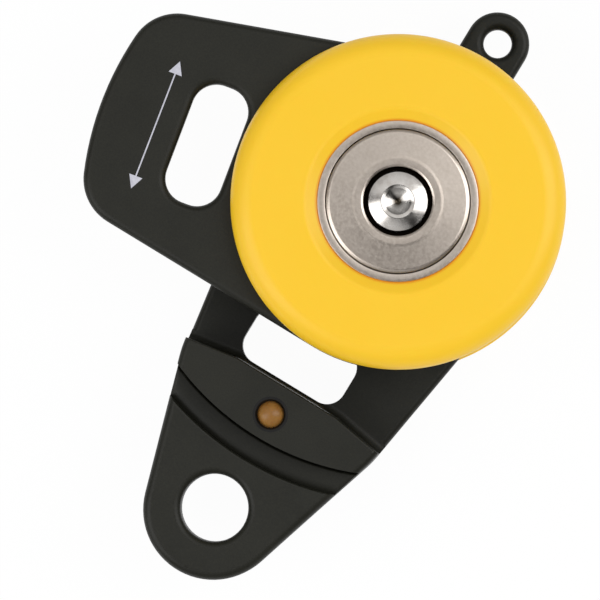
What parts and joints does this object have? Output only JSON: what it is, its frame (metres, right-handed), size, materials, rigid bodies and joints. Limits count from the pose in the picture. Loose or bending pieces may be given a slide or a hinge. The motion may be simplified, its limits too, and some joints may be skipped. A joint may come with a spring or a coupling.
{
  "type": "snatch block",
  "caption": "Side-opening snatch block: a sheave between two cheeks with yellow side discs and steel hub caps; the near cheek swings open and hooks behind a boss on the frame.",
  "frame": {"origin": "on the axle's axis, in the plane of the far side disc's outer face, on which the block lies", "axes": "+Z along the axle towards the cheek that swings, +Y from the head eye towards the small tail eye, +X to the right of the head when seen from +Z with the tail up"},
  "size_m": [0.0859, 0.1169, 0.0338],
  "materials": {
    "black_alloy": "fine-grained satin black coat",
    "yellow_plastic": "moulded, satin",
    "satin_steel": "bead-blasted, with polished edges",
    "bright_steel": "turned and polished",
    "white_liner": "smooth",
    "black_sheave": "hard-anodised, satin",
    "black_cage": "smooth",
    "tan_plastic": "polished"
  },
  "bodies": {
    "frame_body": {"frame": "black_alloy", "lower_disc": "yellow_plastic", "lower_bush": "satin_steel", "lower_liner": "white_liner", "lower_cap": "satin_steel", "axle": "bright_steel", "upper_cap": "satin_steel", "inner_race": "bright_steel", "lower_thrust_ring": "white_liner", "upper_thrust_ring": "white_liner", "detent_barrel": "black_cage", "detent_spring": "bright_steel"},
    "cheek_body": {"swing_cheek": "black_alloy", "upper_disc": "yellow_plastic", "upper_bush": "satin_steel", "upper_liner": "white_liner"},
    "sheave_body": {"sheave": "black_sheave", "outer_race": "bright_steel"},
    "roller_body": {"roller_cage": "black_cage", "rollers": "tan_plastic"},
    "ball_body": {"detent_ball": "tan_plastic"}
  },
  "joints": [
    {"name": "cheek_swing", "type": "hinge", "parent": "frame_body", "child": "cheek_body", "pos_m": [0, 0, 0.0258], "axis": [0, 0, 1], "range_deg": [-20.5, 179.5]},
    {"name": "sheave_spin", "type": "hinge", "parent": "frame_body", "child": "sheave_body", "pos_m": [0, 0, 0.0169], "axis": [0, 0, 1], "continuous": true},
    {"name": "roller_orbit", "type": "hinge", "parent": "frame_body", "child": "roller_body", "pos_m": [0, 0, 0.0169], "axis": [0, 0, 1], "continuous": true},
    {"name": "ball_press", "type": "slide", "parent": "frame_body", "child": "ball_body", "axis": [0, 0, 1], "range_m": [-0.0008, 0], "stiffness_N_per_m": 1500, "springref_m": 0.0005, "deforming": ["detent_spring"]}
  ],
  "couplings": [
    {"joint": "roller_orbit", "follows": "sheave_spin", "ratio": 0.58823}
  ]
}
